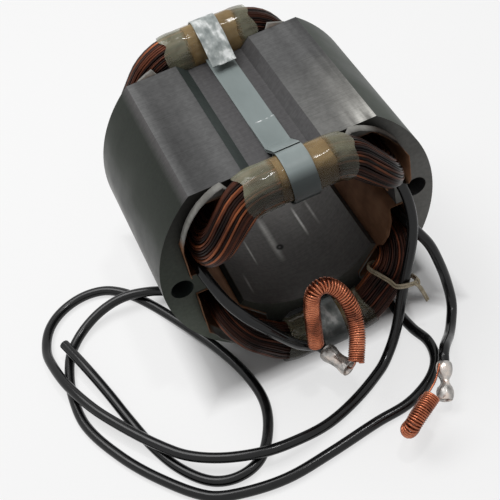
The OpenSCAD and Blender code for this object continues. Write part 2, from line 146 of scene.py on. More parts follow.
bm = bmesh.new()
bmesh.ops.create_grid(bm, x_segments=1, y_segments=1, size=3)
bmesh.ops.translate(bm, verts=bm.verts, vec=(0, 0, table_z * mm))
table_mesh = bpy.data.meshes.new("table")
bm.to_mesh(table_mesh)
bm.free()
table = bpy.data.objects.new("table", table_mesh)
scene.collection.objects.link(table)
table_white, tree, shader = material("table_white", {"Base Color": (0.92, 0.92, 0.92, 1), "Roughness": 0.9})
x, y, z = add(tree, "SeparateXYZ", {"Vector": add(tree, "TexCoord").outputs["Object"]}).outputs
# the table is seen lighter than it is, except in the shade under the stack: its half sizes, and its soft edge
shade_x, shade_y, shade_edge, lighter = 36, 34, 8, 0.68
clear_of_core = maths(
    tree, "MAXIMUM", between(tree, maths(tree, "ABSOLUTE", x), shade_x, shade_x + shade_edge),
    between(tree, maths(tree, "ABSOLUTE", y), shade_y, shade_y + shade_edge))
glow = add(tree, "Emission", {"Color": (1, 1, 1, 1), "Strength": 1.0})
share = maths(tree, "MULTIPLY", maths(tree, "MULTIPLY", seen(tree), lighter), clear_of_core)
both = add(tree, "MixShader", {0: share, 1: shader.outputs[0], 2: glow.outputs[0]})
tree.links.new(both.outputs[0], tree.nodes["Material Output"].inputs["Surface"])
table_mesh.materials.append(table_white)


# Core. A stack of punched sheet steel laminations, pressed together and bare: satin grey flats with rub marks
# along the stack, a painted reflection towards the front of the right flat, a painted highlight along the outer
# edge of the left one, a groove painted darker on its left wall as shade, dark green flanks, the left one painted
# lighter low down as light, a smooth bore with short bright glints painted on as highlights and one small pit, and
# duller grey-green end faces, painted darker towards the top and nearly black above the slots as shade.
half_l = 25.5
flat_inner, flat_outer = 10, 27
flat_z, groove_z, core_r, bore_r = 31.75, 28.85, 41.5, 25.3


def mixed(tree, factor, first, second, blend="MIX"):
    """Two colours mixed by factor; gives the colour socket."""
    return add(tree, "MixRGB", {"Fac": factor, "Color1": first, "Color2": second}, blend_type=blend).outputs["Color"]


def grain(tree, place, scale, detail=3.0, stretch=(1, 1, 1)):
    """Noise over place, scale in features per metre, stretched along an axis by a smaller factor there."""
    spread = add(tree, "Mapping", {"Vector": place, "Scale": stretch}).outputs["Vector"]
    return add(tree, "TexNoise", {"Vector": spread, "Scale": scale, "Detail": detail}).outputs["Fac"]


def relief(tree, shader, height, strength, distance):
    """Bumps from a height socket; distance in millimetres."""
    bump = add(tree, "Bump", {"Height": height, "Strength": strength, "Distance": distance * mm})
    tree.links.new(bump.outputs["Normal"], shader.inputs["Normal"])


steel, tree, shader = material("lamination_steel", {"Metallic": 0.35, "Specular IOR Level": 0.1})
place = add(tree, "TexCoord").outputs["Object"]
x, y, z = add(tree, "SeparateXYZ", {"Vector": place}).outputs
wide = maths(tree, "ABSOLUTE", x)
across_bore = add(tree, "CombineXYZ", {"X": x, "Y": z}).outputs[0]
radius = add(tree, "VectorMath", {0: across_bore}, operation="LENGTH").outputs["Value"]
sheets = add(tree, "TexNoise", {"W": y, "Scale": 2300.0, "Detail": 1.0}, noise_dimensions="1D").outputs["Fac"]
rubs = grain(tree, place, 240.0, 4.0, (1, 0.04, 1))
stains = grain(tree, place, 55.0, 4.0)
specks = grain(tree, place, 900.0, 2.0)
over_flat = between(tree, wide, flat_inner, flat_outer)
# the left flat is darker over its outer middle and has a painted highlight along its outer edge; its outer part is
# lighter towards the rear
left_flat = ramp(
    tree, over_flat, (0.1, 0.088), (0.24, 0.104), (0.36, 0.098), (0.48, 0.08), (0.6, 0.064),
    (0.74, 0.058), (0.84, 0.064), (0.9, 0.085), (0.98, 0.1))
left_flat = mixed(tree, between(tree, wide, 16, 22), left_flat, mixed(
    tree, 1.0, left_flat, ramp(tree, between(tree, y, -24, 24), (0.0, 0.9), (0.4, 0.95), (1.0, 1.35)), "MULTIPLY"))
# painted reflection: the right flat is painted much lighter towards its front, and most towards its outer edge
right_flat = mixed(
    tree, between(tree, y, 9, -22),
    ramp(tree, over_flat, (0.1, 0.112), (0.5, 0.104), (0.8, 0.124), (1.0, 0.118)),
    ramp(
        tree, over_flat, (0.1, (0.18, 0.179, 0.172)), (0.42, (0.184, 0.182, 0.174)),
        (0.55, (0.225, 0.222, 0.21)), (0.78, (0.3, 0.295, 0.275)), (1.0, (0.34, 0.334, 0.308))))
flat_steel = mixed(tree, between(tree, x, -6, 6), left_flat, right_flat)
flat_steel = mixed(tree, 0.9, flat_steel, ramp(tree, stains, (0.3, 0.72), (0.52, 1.0), (0.7, 1.12)), "MULTIPLY")
flat_steel = mixed(tree, between(tree, wide, 14, 26), flat_steel, mixed(
    tree, 0.8, flat_steel, ramp(tree, rubs, (0.36, 0.55), (0.5, 1.0), (0.68, 1.35)), "MULTIPLY"))
# scratches along the stack at the front right corner of the flat, painted as bright as their glint: real scratches
# and a painted highlight
scratches_and_glint = maths(tree, "MULTIPLY", between(tree, x, 18, 25), between(tree, y, -15, -24))
flat_steel = mixed(tree, scratches_and_glint, flat_steel, ramp(
    tree, grain(tree, place, 420.0, 4.0, (1, 0.06, 1)), (0.4, (0.22, 0.215, 0.2)), (0.62, (0.7, 0.69, 0.65))))
# painted shade: the groove's left wall, left of x = -8.4 mm, is painted darker than its floor and right wall
groove_steel = mixed(
    tree, between(tree, x, -8.3, -8.5), ramp(tree, rubs, (0.3, (0.07, 0.068, 0.07)), (0.7, (0.105, 0.103, 0.104))),
    ramp(tree, stains, (0.3, (0.035, 0.045, 0.042)), (0.7, (0.055, 0.066, 0.062))))
uneven = maths(tree, "MULTIPLY", maths(tree, "SUBTRACT", stains, 0.5), 0.3)
# painted light: the left flank is painted much lighter low down, where the lamp reaches it, and lighter along its top
# edge as a painted highlight
left_flank = ramp(
    tree, maths(tree, "ADD", between(tree, z, -14, 34), uneven), (0.08, (0.27, 0.27, 0.265)),
    (0.3, (0.235, 0.234, 0.229)), (0.5, (0.05, 0.053, 0.048)), (0.66, (0.013, 0.018, 0.011)),
    (0.9, (0.019, 0.023, 0.018)))
left_flank = mixed(tree, between(tree, z, 29.4, 31.7), left_flank, (0.1, 0.095, 0.096, 1))
right_flank = ramp(tree, stains, (0.3, (0.016, 0.023, 0.015)), (0.7, (0.03, 0.04, 0.028)))
bore_steel = ramp(tree, stains, (0.3, (0.1, 0.096, 0.093)), (0.7, (0.16, 0.155, 0.15)))
# painted highlights in the bore, short bright glints along it: place across it, nearest and furthest point along it,
# half width; they fade at both ends
bore_glints, fade = 0.0, 5
for off, near, far, half_w in (
        (-2.35, -10, 12, 1.4), (8.4, -5.5, 9, 0.5), (12.7, -5, 9, 0.5), (-10.35, -9, 4, 0.4),
        (-16.3, -22, -12, 0.5)):
    aside = maths(tree, "ABSOLUTE", maths(tree, "SUBTRACT", x, off * mm))
    along = maths(tree, "MULTIPLY", between(tree, y, near, near + fade), between(tree, y, far, far - fade))
    bore_glints = maths(tree, "MAXIMUM", bore_glints, maths(tree, "MULTIPLY", between(tree, aside, half_w, 0), along))
bore_glints = maths(tree, "MULTIPLY", bore_glints, ramp(tree, rubs, (0.35, 0.25), (0.6, 1.0)))
bore_steel = mixed(tree, bore_glints, bore_steel, (0.75, 0.75, 0.72, 1))
pit_place, pit_r = (-1.1 * mm, -3.7 * mm, -25.3 * mm), 1.4
from_pit = add(tree, "VectorMath", {0: place, 1: pit_place}, operation="DISTANCE").outputs["Value"]
pit = ramp(tree, between(tree, from_pit, 0.0, pit_r), (0.2, 0.3), (0.4, 1.0), (0.7, 0.8), (1.0, 0.0))
bore_steel = mixed(tree, pit, bore_steel, (0.008, 0.008, 0.008, 1))
end_steel = mixed(
    tree, between(tree, x, -40, 36), ramp(tree, stains, (0.3, (0.085, 0.1, 0.08)), (0.7, (0.13, 0.145, 0.122))),
    ramp(tree, stains, (0.3, (0.105, 0.103, 0.097)), (0.7, (0.165, 0.163, 0.154))))
# painted light and shade: the end faces are painted a little lighter at the bottom and darker towards the top, most
# on the left
up_face = between(tree, z, -20, 24)
end_steel = mixed(tree, 1.0, end_steel, mixed(
    tree, between(tree, x, -6, 6), ramp(tree, up_face, (0.0, 1.2), (0.18, 1.0), (0.4, 0.56), (1.0, 0.54)),
    ramp(tree, up_face, (0.0, 1.2), (0.45, 1.05), (0.7, 0.95), (1.0, 0.72))), "MULTIPLY")
# painted shade: the upper part of the end faces, by the tops of the slots, is painted nearly black where the
# turned-out lips of the liners shade it
face_shade_by_lips = maths(tree, "MULTIPLY", between(tree, z, 8, 26), between(tree, x, 34, 22))
end_steel = mixed(tree, face_shade_by_lips, end_steel, (0.026, 0.025, 0.023, 1))
colour = mixed(tree, between(tree, z, flat_z - 0.1, flat_z - 0.05), groove_steel, flat_steel)
on_flank = maths(
    tree, "MULTIPLY", between(tree, radius, core_r - 0.6, core_r - 0.2),
    between(tree, z, flat_z - 0.01, flat_z - 0.06))
colour = mixed(tree, on_flank, colour, mixed(tree, between(tree, x, -1, 1), left_flank, right_flank))
colour = mixed(tree, between(tree, radius, bore_r + 0.3, bore_r + 0.2), colour, bore_steel)
colour = mixed(tree, between(tree, maths(tree, "ABSOLUTE", y), half_l - 0.06, half_l - 0.04), colour, end_steel)
colour = mixed(tree, 0.3, colour, ramp(tree, sheets, (0.35, 0.6), (0.6, 1.0)), "MULTIPLY")
colour = mixed(tree, 0.35, colour, ramp(tree, specks, (0.35, 0.7), (0.65, 1.2)), "MULTIPLY")
tree.links.new(colour, shader.inputs["Base Color"])
tree.links.new(ramp(tree, stains, (0.3, 0.36), (0.7, 0.5)), shader.inputs["Roughness"])
relief(tree, shader, maths(tree, "ADD", sheets, maths(tree, "MULTIPLY", specks, 0.5)), 0.12, 0.05)
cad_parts["core"].data.materials.clear()
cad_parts["core"].data.materials.append(steel)


# Slot liners. Brown pressboard paper folded round each coil side in its slot. Cuffs stand out of the stack at both
# ends, and the top of each sleeve is turned out over the edge of the slot into a lip, painted grey there as the sheen
# of the light on it, and nearly black as painted shade towards the outer end of the lips on the right.
paper_t, cuff_l = 0.35, 3.8
lip_out = {"front": 3.2, "rear": 1.3}
# corners of a sleeve in X and Z, how much of a cuff each has, and its place on the lip
liner_corners = [
    (27.36, 3.93, 0.0, None), (26.3, 6.3, 0.7, None), (24.6, 10.4, 1.0, None), (22.9, 14.4, 0.7, None),
    (22.15, 16.35, 0.1, None), (18.6, 20.9, 0.1, None), (15.31, 24.9, 0.1, None), (15.33, 27.07, 0.1, None),
    (17.4, 27.07, 0.0, (18.2, 32.75)), (20.0, 27.07, 0.0, (20.3, 32.25)), (22.6, 27.07, 0.0, (22.8, 31.0)),
    (25.03, 27.07, 0.0, (25.3, 29.3)), (26.7, 25.45, 0.0, (27.3, 27.4)), (28.2, 23.75, 0.0, (29.0, 25.4)),
    (29.6, 22.0, 0.0, (30.4, 23.2)), (30.8, 20.3, 0.0, (31.5, 20.9)), (31.8, 18.7, 0.0, (32.3, 18.9)),
    (32.67, 17.09, 1.0, None), (32.67, 12.5, 1.0, None), (32.67, 8.2, 1.0, None), (32.67, 5.2, 0.6, None),
    (32.67, 3.93, 0.0, None), (27.36, 3.93, 0.0, None)]
# rows of a sleeve from the front to the rear: where along the stack, and how far a cuff or lip has come out there
liner_rows = [("front", 1.0), ("front", 0.5), ("front", 0.12)] + [("slot", k / 5) for k in range(6)] + [
    ("rear", 0.12), ("rear", 0.5), ("rear", 1.0)]


def sheet(columns, rows, place):
    """A sheet of columns by rows faces, each corner put where place says for its column and row, in millimetres."""
    bm = bmesh.new()
    bmesh.ops.create_grid(bm, x_segments=columns, y_segments=rows, size=1)
    half = max(v.co.x for v in bm.verts)
    for v in bm.verts:
        v.co = Vector(place(
            round((v.co.x / half + 1) / 2 * columns), round((v.co.y / half + 1) / 2 * rows))) * mm
    bmesh.ops.remove_doubles(bm, verts=bm.verts, dist=0.004 * mm)
    bmesh.ops.recalc_face_normals(bm, faces=bm.faces)
    return bm


def finished(name, bm, made_of):
    """Turns a bmesh into a smooth piece that rides on the stator, with its material."""
    mesh = bpy.data.meshes.new(name)
    bm.to_mesh(mesh)
    bm.free()
    piece = bpy.data.objects.new(name, mesh)
    scene.collection.objects.link(piece)
    mesh.materials.append(made_of)
    mesh.shade_smooth()
    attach(piece, "root")
    return piece


def thickened(piece, thickness, offset):
    """Gives a sheet its thickness, in millimetres."""
    wall = piece.modifiers.new("thickness", "SOLIDIFY")
    wall.thickness = thickness * mm
    wall.offset = offset


def liner_point(column, row, sx, sz):
    """Where a corner of a sleeve lies in a row."""
    px, pz, cuff, lip = liner_corners[column]
    where, out = liner_rows[row]
    if where == "slot":
        return sx * px, half_l * (2 * out - 1), sz * pz
    away = 0.3 + cuff_l * cuff * out
    if lip:
        turned_out = min(1.0, out * 2.4)
        px, pz = px + (lip[0] - px) * turned_out, pz + (lip[1] - pz) * turned_out
        away = 0.35 + (lip_out[where] - 0.35) * max(0.0, (out - 0.4) / 0.6)
    elif px > 30:
        px += 0.4 * cuff * out
    wave = 0.25 * out * noise.noise(Vector((px * 0.3 * sx, pz * 0.3 * sz, len(where))))
    return sx * (px + wave), (-1 if where == "front" else 1) * (half_l + away + wave), sz * (pz + wave)


pressboard, tree, shader = material("brown_pressboard", {"Roughness": 0.75, "Specular IOR Level": 0.2})
place = add(tree, "TexCoord").outputs["Object"]
x, y, z = add(tree, "SeparateXYZ", {"Vector": place}).outputs
fibres = grain(tree, place, 900.0, 4.0, (1, 0.3, 1))
brown = ramp(tree, grain(tree, place, 120.0, 3.0), (0.3, (0.15, 0.068, 0.034)), (0.7, (0.3, 0.155, 0.085)))
# painted sheen and painted shade on the lips: grey where they face up to the light, nearly black towards the outer
# end of the right lips
grey = ramp(tree, grain(tree, place, 200.0, 3.0), (0.3, (0.17, 0.165, 0.15)), (0.7, (0.3, 0.295, 0.275)))
lip_shade = ramp(tree, grain(tree, place, 200.0, 3.0), (0.3, (0.03, 0.024, 0.02)), (0.7, (0.07, 0.058, 0.05)))
on_lip = maths(
    tree, "MULTIPLY", between(tree, maths(tree, "ABSOLUTE", z), 18, 20.5),
    between(tree, maths(tree, "ABSOLUTE", y), half_l + 0.1, half_l + 0.5))
colour = mixed(tree, on_lip, brown, mixed(tree, between(tree, x, 22.5, 25.5), grey, lip_shade))
colour = mixed(tree, 0.5, colour, ramp(tree, fibres, (0.3, 0.7), (0.7, 1.1)), "MULTIPLY")
tree.links.new(colour, shader.inputs["Base Color"])
relief(tree, shader, fibres, 0.2, 0.05)

for side, sx in (("left", -1), ("right", 1)):
    for tier, sz in (("upper", 1), ("lower", -1)):
        bm = sheet(
            len(liner_corners) - 1, len(liner_rows) - 1, lambda c, r, sx=sx, sz=sz: liner_point(c, r, sx, sz))
        piece = finished(f"paper_{tier}_{side}", bm, pressboard)
        thickened(piece, paper_t * 0.8, 0)
        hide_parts(f"liner_{tier}_{side}")


# Field coils. Each coil is wound of many turns of enamelled copper wire that lie side by side: round bundles at
# the ends, which lean down to the slots and fan out there, and bulge out beside the stack at the rear left. Only the
# outer layers are made, as the rest never shows.
wire_d, wire_layers = 0.76, 3
side_x, side_z, side_a, side_b = 26.536, 16.163, 3.364, 7.163
straight_x, lean = 9.5, math.radians(26)
# height of a coil end, its distance from the stack, the radius of its bundle and of the bend into it
coil_ends = {"front": (31.5, 7.4, 5.7, 9.0), "rear": (32.5, 6.3, 4.7, 12.3)}


def bundle_quarter(end_z, out, end_r, bend):
    """From the middle of the slot to the middle of a coil end: places, section axes and half sizes."""
    reach = Vector((straight_x - side_x, end_z - bend - side_z))
    line = math.sqrt(reach.length_squared - bend ** 2)
    end_lean = math.atan2(reach.y, reach.x) - math.asin(bend / reach.length) - math.pi / 2
    total = line + bend * (math.pi / 2 - end_lean)
    stations = [(0, -half_l * share, 0.0, side_a, side_b) for share in (1, 0.6, 0.2)]
    for step in range(10):
        f = step * math.pi / 18
        stations.append((
            out * (1 - math.cos(f)), out * math.sin(f), f,
            side_a + (end_r - side_a) * f / math.pi,
            min(side_b, out * 0.9) + (end_r - min(side_b, out * 0.9)) * f / 1.92))
    for k in range(1, 10):
        t = k / 9
        stations.append((
            out + (total - out) * t, out, math.pi / 2,
            side_a + (end_r - side_a) * (0.5 + t / 2), end_r * (1.04 - 0.04 * t)))
    stations += [(total + straight_x * share, out, math.pi / 2, end_r, end_r) for share in (0.5, 1)]
    rings = []
    for s, away, f, a, b in stations:
        k = min(s, line)
        g = min(math.pi / 2, end_lean + max(0, s - line) / bend)
        px = side_x - math.sin(end_lean) * k + bend * (math.cos(g) - math.cos(end_lean)) - max(0, s - total)
        pz = side_z + math.cos(end_lean) * k + bend * (math.sin(g) - math.sin(end_lean))
        tilt = lean + (g - lean) * f * 2 / math.pi
        rings.append((
            Vector((px, half_l + away, pz)), Vector((math.cos(tilt), 0, math.sin(tilt))),
            Vector((-math.cos(f) * math.sin(tilt), -math.sin(f), math.cos(f) * math.cos(tilt))), a, b))
    return rings


def turned(ring, sx, sy):
    """A ring of the bundle mirrored into another quarter."""
    flip = Vector((sx, sy, 1))
    return tuple(v * flip for v in ring[:3]) + ring[3:]


# how far the strap draws the rear bundles towards the stack, and the pull's direction: its parts off the stack and up
draw, draw_off, draw_up = 2.5, -0.62, -0.785


def drawn_in(end, up, off):
    """How far a bundle's surface is drawn out on the side where the strap pulls it against the stack."""
    return draw * max(0.0, draw_off * off + draw_up * up) ** 3 if end == "rear" else 0.0


def wire_curve(name, lines, thickness, closed, made_of):
    """A curve with one round spline for each list of points, in millimetres; its materials take turns at random."""
    chance = random.Random(name)
    data = bpy.data.curves.new(name, "CURVE")
    data.dimensions = "3D"
    data.bevel_depth = 1.0
    data.bevel_resolution = 1
    data.use_fill_caps = not closed
    for coat in made_of:
        data.materials.append(coat)
    for points in lines:
        spline = data.splines.new("POLY")
        spline.points.add(len(points) - 1)
        for target, p in zip(spline.points, points):
            target.co = (p.x * mm, p.y * mm, p.z * mm, 1)
            target.radius = thickness / 2 * mm
        spline.use_cyclic_u = closed
        spline.use_smooth = True
        spline.material_index = chance.randrange(len(made_of))
    piece = bpy.data.objects.new(name, data)
    scene.collection.objects.link(piece)
    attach(piece, "root")
    return piece


# shades of enamel: darkest and lightest tone, and how many wires in nine have it
enamels = []
for shade, deep, light, share in (
        ("dark", (0.007, 0.0045, 0.004), (0.02, 0.009, 0.007), 3),
        ("brown", (0.018, 0.0075, 0.006), (0.056, 0.02, 0.012), 3),
        ("red", (0.042, 0.014, 0.009), (0.13, 0.04, 0.02), 2),
        ("orange", (0.11, 0.034, 0.016), (0.36, 0.11, 0.044), 1)):
    enamel, tree, shader = material(f"{shade}_enamelled_copper", {
        "Metallic": 0.5, "Roughness": 0.3, "Specular IOR Level": 0.12})
    place = add(tree, "TexCoord").outputs["Object"]
    x, y, z = add(tree, "SeparateXYZ", {"Vector": place}).outputs
    over_coil = between(tree, x, -28, 28)
    # painted light and shade: the upper coil's wires are painted darker towards the right, the lower coil's lighter
    # towards the right
    painted_wire_light = mixed(
        tree, between(tree, z, -6, 6), ramp(tree, over_coil, (0.1, 0.65), (0.6, 0.8), (0.9, 1.6)),
        ramp(tree, over_coil, (0.1, 0.85), (0.25, 1.0), (0.6, 0.9), (0.82, 0.36)))
    colour = ramp(tree, grain(tree, place, 130.0, 3.0), (0.34, deep), (0.68, light))
    tree.links.new(mixed(tree, 1.0, colour, painted_wire_light, "MULTIPLY"), shader.inputs["Base Color"])
    relief(tree, shader, grain(tree, place, 1500.0, 2.0), 0.08, 0.03)
    enamels += [enamel] * share

# how far the wires bulge out at the rear left, how soon after the stack, and how small a layer's half size may get
bulge, bulge_run, least_half = 2.4, 4, 0.4
front, rear = bundle_quarter(*coil_ends["front"]), bundle_quarter(*coil_ends["rear"])
front_bundle_r, rear_end_z = coil_ends["front"][2], coil_ends["rear"][0]
rings = (
    [turned(r, 1, -1) for r in front] + [turned(r, -1, -1) for r in front[-2:0:-1]]
    + [turned(r, -1, 1) for r in rear] + [turned(r, 1, 1) for r in rear[-2:0:-1]])
for tier, sz, seed in (("upper", 1, 11), ("lower", -1, 12)):
    chance = random.Random(seed)
    turns = []
    for layer in range(wire_layers):
        depth = wire_d * (0.5 + 0.84 * layer)
        count = int(2 * math.pi * (front_bundle_r - depth) / (wire_d * 1.02))
        for i in range(count):
            start = 2 * math.pi * (i + 0.5 * layer) / count
            sway = [(chance.uniform(0.006, 0.022), n, chance.uniform(0, 6.3)) for n in (2, 4, 7)]
            sink = chance.uniform(0, 0.22)
            points = []
            for k, (centre, u, w, a, b) in enumerate(rings):
                t = 2 * math.pi * k / len(rings)
                angle = start + sum(size * math.sin(n * t + at) for size, n, at in sway)
                inside = depth + sink * (1 + math.sin(3 * t + sway[0][2])) / 2
                if centre.y > half_l + 6 and abs(centre.x) < 16:
                    inside -= drawn_in("rear", math.cos(angle), -math.sin(angle))
                if centre.x < 0 and centre.y > half_l:
                    low = max(0.0, 1 - (centre.z - side_z) / (rear_end_z - side_z))
                    centre = centre - Vector((bulge * low * min(1.0, (centre.y - half_l) / bulge_run), 0, 0))
                wide, high = max(a - inside, least_half), max(b - inside, least_half)
                p = centre + u * (wide * math.cos(angle)) + w * (high * math.sin(angle))
                points.append(Vector((p.x, p.y, sz * p.z)))
            turns.append(points)
    piece = wire_curve(f"{tier}_winding", turns, wire_d, True, enamels)
    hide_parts(f"{tier}_coil")


# Tan tape. A few turns of woven tan tape bind the middle of each coil end before the film goes on.
# Its ends are cut a little uneven, and the wire presses through as soft ridges.
tape_x0, tape_x1, tape_t, tape_gap, tape_wall = -5.5, 9.5, 0.3, 0.05, 0.2


def wrapped(tier, end, gap, x0, x1, slant, ragged, crease, seed):
    """A tube round a coil end, gap over its wire, from x0 to x1 along it, bent down beyond the straight part."""
    end_z, out, end_r, bend = coil_ends[end]
    sy, sz = (-1 if end == "front" else 1), (1 if tier == "upper" else -1)
    columns, rows = 80, 44

    def place(column, row):
        turn = 2 * math.pi * (column % columns) / columns
        up, off = math.sin(turn), math.cos(turn)
        share = row / rows
        uneven = ragged * noise.noise(Vector((up * 1.6, off * 1.6, seed + round(share)))) - slant * up
        s = x0 + (x1 - x0) * share + (2 * share - 1) ** 3 * uneven
        fold = noise.noise(Vector((s * 0.16, up * 2.2, off * 2.2 + seed)))
        ridge = 1 - 2.2 * abs(noise.noise(Vector((s * 0.3 - seed, up * 3.4, off * 3.4))))
        arm = end_r + gap + crease * (0.55 * fold + 0.45 * ridge - 0.75) + drawn_in(end, up, off)
        over = abs(s) - straight_x
        if over > 0:
            rho, theta = bend + arm * up, over / bend
            return (
                math.copysign(straight_x + rho * math.sin(theta), s), sy * (half_l + out + arm * off),
                sz * (end_z - bend + rho * math.cos(theta)))
        return s, sy * (half_l + out + arm * off), sz * (end_z + arm * up)

    return sheet(columns, rows, place)


def painted_shade_below(tree, colour):
    """Paints shade into a colour where its surface turns down, most at the front, where faces that turn up get a
    slight painted highlight.
    """
    up = add(tree, "SeparateXYZ", {"Vector": add(tree, "NewGeometry").outputs["Normal"]}).outputs["Z"]
    y = add(tree, "SeparateXYZ", {"Vector": add(tree, "TexCoord").outputs["Object"]}).outputs["Y"]
    half = maths(tree, "MULTIPLY", maths(tree, "ADD", up, 1.0), 0.5)
    plain = ramp(tree, half, (0.0, 0.16), (0.5, 1.0))
    front = ramp(tree, half, (0.0, 0.1), (0.6, 0.24), (0.74, 0.27), (0.83, 0.68), (0.9, 1.08), (1.0, 1.04))
    return mixed(tree, 1.0, colour, mixed(tree, between(tree, y, -20, -26), plain, front), "MULTIPLY")


woven_tan, tree, shader = material("woven_tan_tape", {"Roughness": 0.6, "Specular IOR Level": 0.3})
place = add(tree, "TexCoord").outputs["Object"]
weave = add(tree, "TexWave", {"Vector": place, "Scale": 900.0, "Distortion": 1.5, "Detail": 2.0}).outputs["Fac"]
colour = ramp(
    tree, grain(tree, place, 200.0, 4.0), (0.32, (0.16, 0.085, 0.03)), (0.5, (0.3, 0.19, 0.08)),
    (0.7, (0.4, 0.28, 0.14)))
colour = mixed(tree, 0.35, colour, ramp(tree, weave, (0.2, 0.7), (0.8, 1.1)), "MULTIPLY")
# painted shade where the tape turns down
tree.links.new(painted_shade_below(tree, colour), shader.inputs["Base Color"])
relief(tree, shader, weave, 0.3, 0.08)

for seed, (tier, end) in enumerate((t, e) for t in ("upper", "lower") for e in ("front", "rear")):
    bm = wrapped(
        tier, end, tape_gap + tape_t, tape_x0, tape_x1, slant=0.0, ragged=0.7, crease=0.15, seed=3 * seed)
    piece = finished(f"binding_{tier}_{end}", bm, woven_tan)
    thickened(piece, tape_wall, -1)
    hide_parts(f"tape_{tier}_{end}")


# Clear film. Wide clear polyester tape, wound tightly in several layers over the binding and the wire beside it:
# glossy, yellowed, milky where it lies on the wire, with long creases and slanting uneven ends.
film_t, film_gap = 0.3, 0.4
film_reach = {"front": (-14.7, 14.7), "rear": (-13.2, 14.6)}

film_clear, tree, shader = material("clear_film", {"Roughness": 0.1, "Specular IOR Level": 0.3})
place = add(tree, "TexCoord").outputs["Object"]
x, y, z = add(tree, "SeparateXYZ", {"Vector": place}).outputs
haze = grain(tree, place, 130.0, 4.0)
on_binding = maths(
    tree, "MINIMUM", between(tree, x, tape_x0 - 1.2, tape_x0 + 0.2), between(tree, x, tape_x1 + 1.2, tape_x1 - 0.2))
over_wire = ramp(tree, haze, (0.3, (0.165, 0.148, 0.105)), (0.5, (0.275, 0.268, 0.18)), (0.72, (0.41, 0.41, 0.295)))
over_tape = ramp(tree, haze, (0.3, (0.27, 0.18, 0.08)), (0.7, (0.42, 0.32, 0.16)))
# painted shade where the film turns down
tree.links.new(painted_shade_below(tree, mixed(tree, on_binding, over_wire, over_tape)), shader.inputs["Base Color"])
tree.links.new(ramp(tree, on_binding, (0.0, 0.6), (1.0, 0.4)), shader.inputs["Alpha"])
relief(tree, shader, grain(tree, place, 260.0, 3.0, (0.5, 1, 1)), 0.2, 0.2)

for seed, (tier, end) in enumerate((t, e) for t in ("upper", "lower") for e in ("front", "rear")):
    bm = wrapped(
        tier, end, film_gap + film_t, *film_reach[end], slant=1.6, ragged=1.3, crease=0.26, seed=3 * seed + 40)
    piece = finished(f"wrap_{tier}_{end}", bm, film_clear)
    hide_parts(f"film_{tier}_{end}")


# Straps. A grey plastic strap lies in the groove of the core and loops round both coil ends, which it pulls down
# onto the stack. At the front it laps back over itself in the groove; its crinkled rear end stands up a little.
strap_x, strap_w, strap_t, strap_gap = 1.2, 7.3, 0.4, 0.05
loop_x, strap_columns, strap_wall, strap_edge = 0.25, 8, 0.3, 0.06


def arc(c, r, start, stop, grow=0.0):
    """Points on an arc in Y and Z about c, from one angle to another, its radius growing on the way."""
    count = int(abs(stop - start) / 7)
    turns = [(i / count, math.radians(start + (stop - start) * i / count)) for i in range(count + 1)]
    return [c + (r + grow * t) * Vector((0, math.cos(a), math.sin(a))) for t, a in turns]


def straight(a, b, count):
    """Points between a and b, with neither."""
    return [a.lerp(b, i / (count + 1)) for i in range(1, count + 1)]


floor = groove_z + strap_gap + strap_t / 2
front_c, front_r = Vector((0, -32.9, 31.5)), 6.45 + strap_t / 2
rear_c, rear_r = Vector((0, 31.8, 32.5)), 5.45 + strap_t / 2
flap = [Vector((0, y, z)) for y, z in ((18.6, 31.45), (19.3, 31.75), (20.6, 32.7), (22.6, 34.2), (25.2, 36.1))]
rear_loop = arc(rear_c, rear_r, 122, -150)
rear_foot, front_foot = Vector((0, 18.5, floor)), Vector((0, -19, floor))
front_loop = arc(front_c, front_r, 52, 412, strap_t + strap_gap)
lap_foot, lap_end = Vector((0, -18.4, floor + strap_t + 0.04)), Vector((0, -7.5, floor + strap_t + 0.06))
strap_line = (
    flap + rear_loop + straight(rear_loop[-1], rear_foot, 2) + [rear_foot]
    + straight(rear_foot, front_foot, 18) + [front_foot] + straight(front_foot, front_loop[0], 5) + front_loop
    + straight(front_loop[-1], lap_foot, 5) + [lap_foot] + straight(lap_foot, lap_end, 8) + [lap_end])

grey_plastic, tree, shader = material("grey_plastic_strap", {"Specular IOR Level": 0.2})
place = add(tree, "TexCoord").outputs["Object"]
x, y, z = add(tree, "SeparateXYZ", {"Vector": place}).outputs
smear = grain(tree, place, 90.0, 4.0, (1, 0.4, 1))
crinkles = grain(tree, place, 420.0, 4.0, (1, 0.5, 1))
plain = ramp(tree, smear, (0.3, (0.2, 0.235, 0.232)), (0.55, (0.245, 0.285, 0.282)), (0.75, (0.3, 0.335, 0.33)))
# painted highlights: on the loose rear end and on the lower front loop the crinkles are painted nearly white where
# they catch the light
crinkle_glints = ramp(tree, crinkles, (0.36, (0.2, 0.225, 0.22)), (0.52, (0.36, 0.39, 0.38)), (0.66, (0.8, 0.82, 0.81)))
on_flap = maths(tree, "MULTIPLY", between(tree, y, 17, 19), between(tree, maths(tree, "ABSOLUTE", z), 30.4, 31.2))
on_low_loop = maths(tree, "MULTIPLY", between(tree, y, -30, -32), between(tree, z, -20, -22))
on_flap = maths(tree, "MAXIMUM", on_flap, on_low_loop)
# painted highlights: bright specks along the cut end of the lap in the groove, where its dog-eared edge catches the
# light
lap_end_glints = between(tree, maths(tree, "ABSOLUTE", maths(tree, "SUBTRACT", y, lap_end.y * mm)), 0.5, 0.2)
lap_end_glints = maths(tree, "MULTIPLY", lap_end_glints, ramp(tree, crinkles, (0.46, 0.0), (0.56, 1.0)))
colour = mixed(tree, lap_end_glints, mixed(tree, on_flap, plain, crinkle_glints), (0.85, 0.87, 0.87, 1))
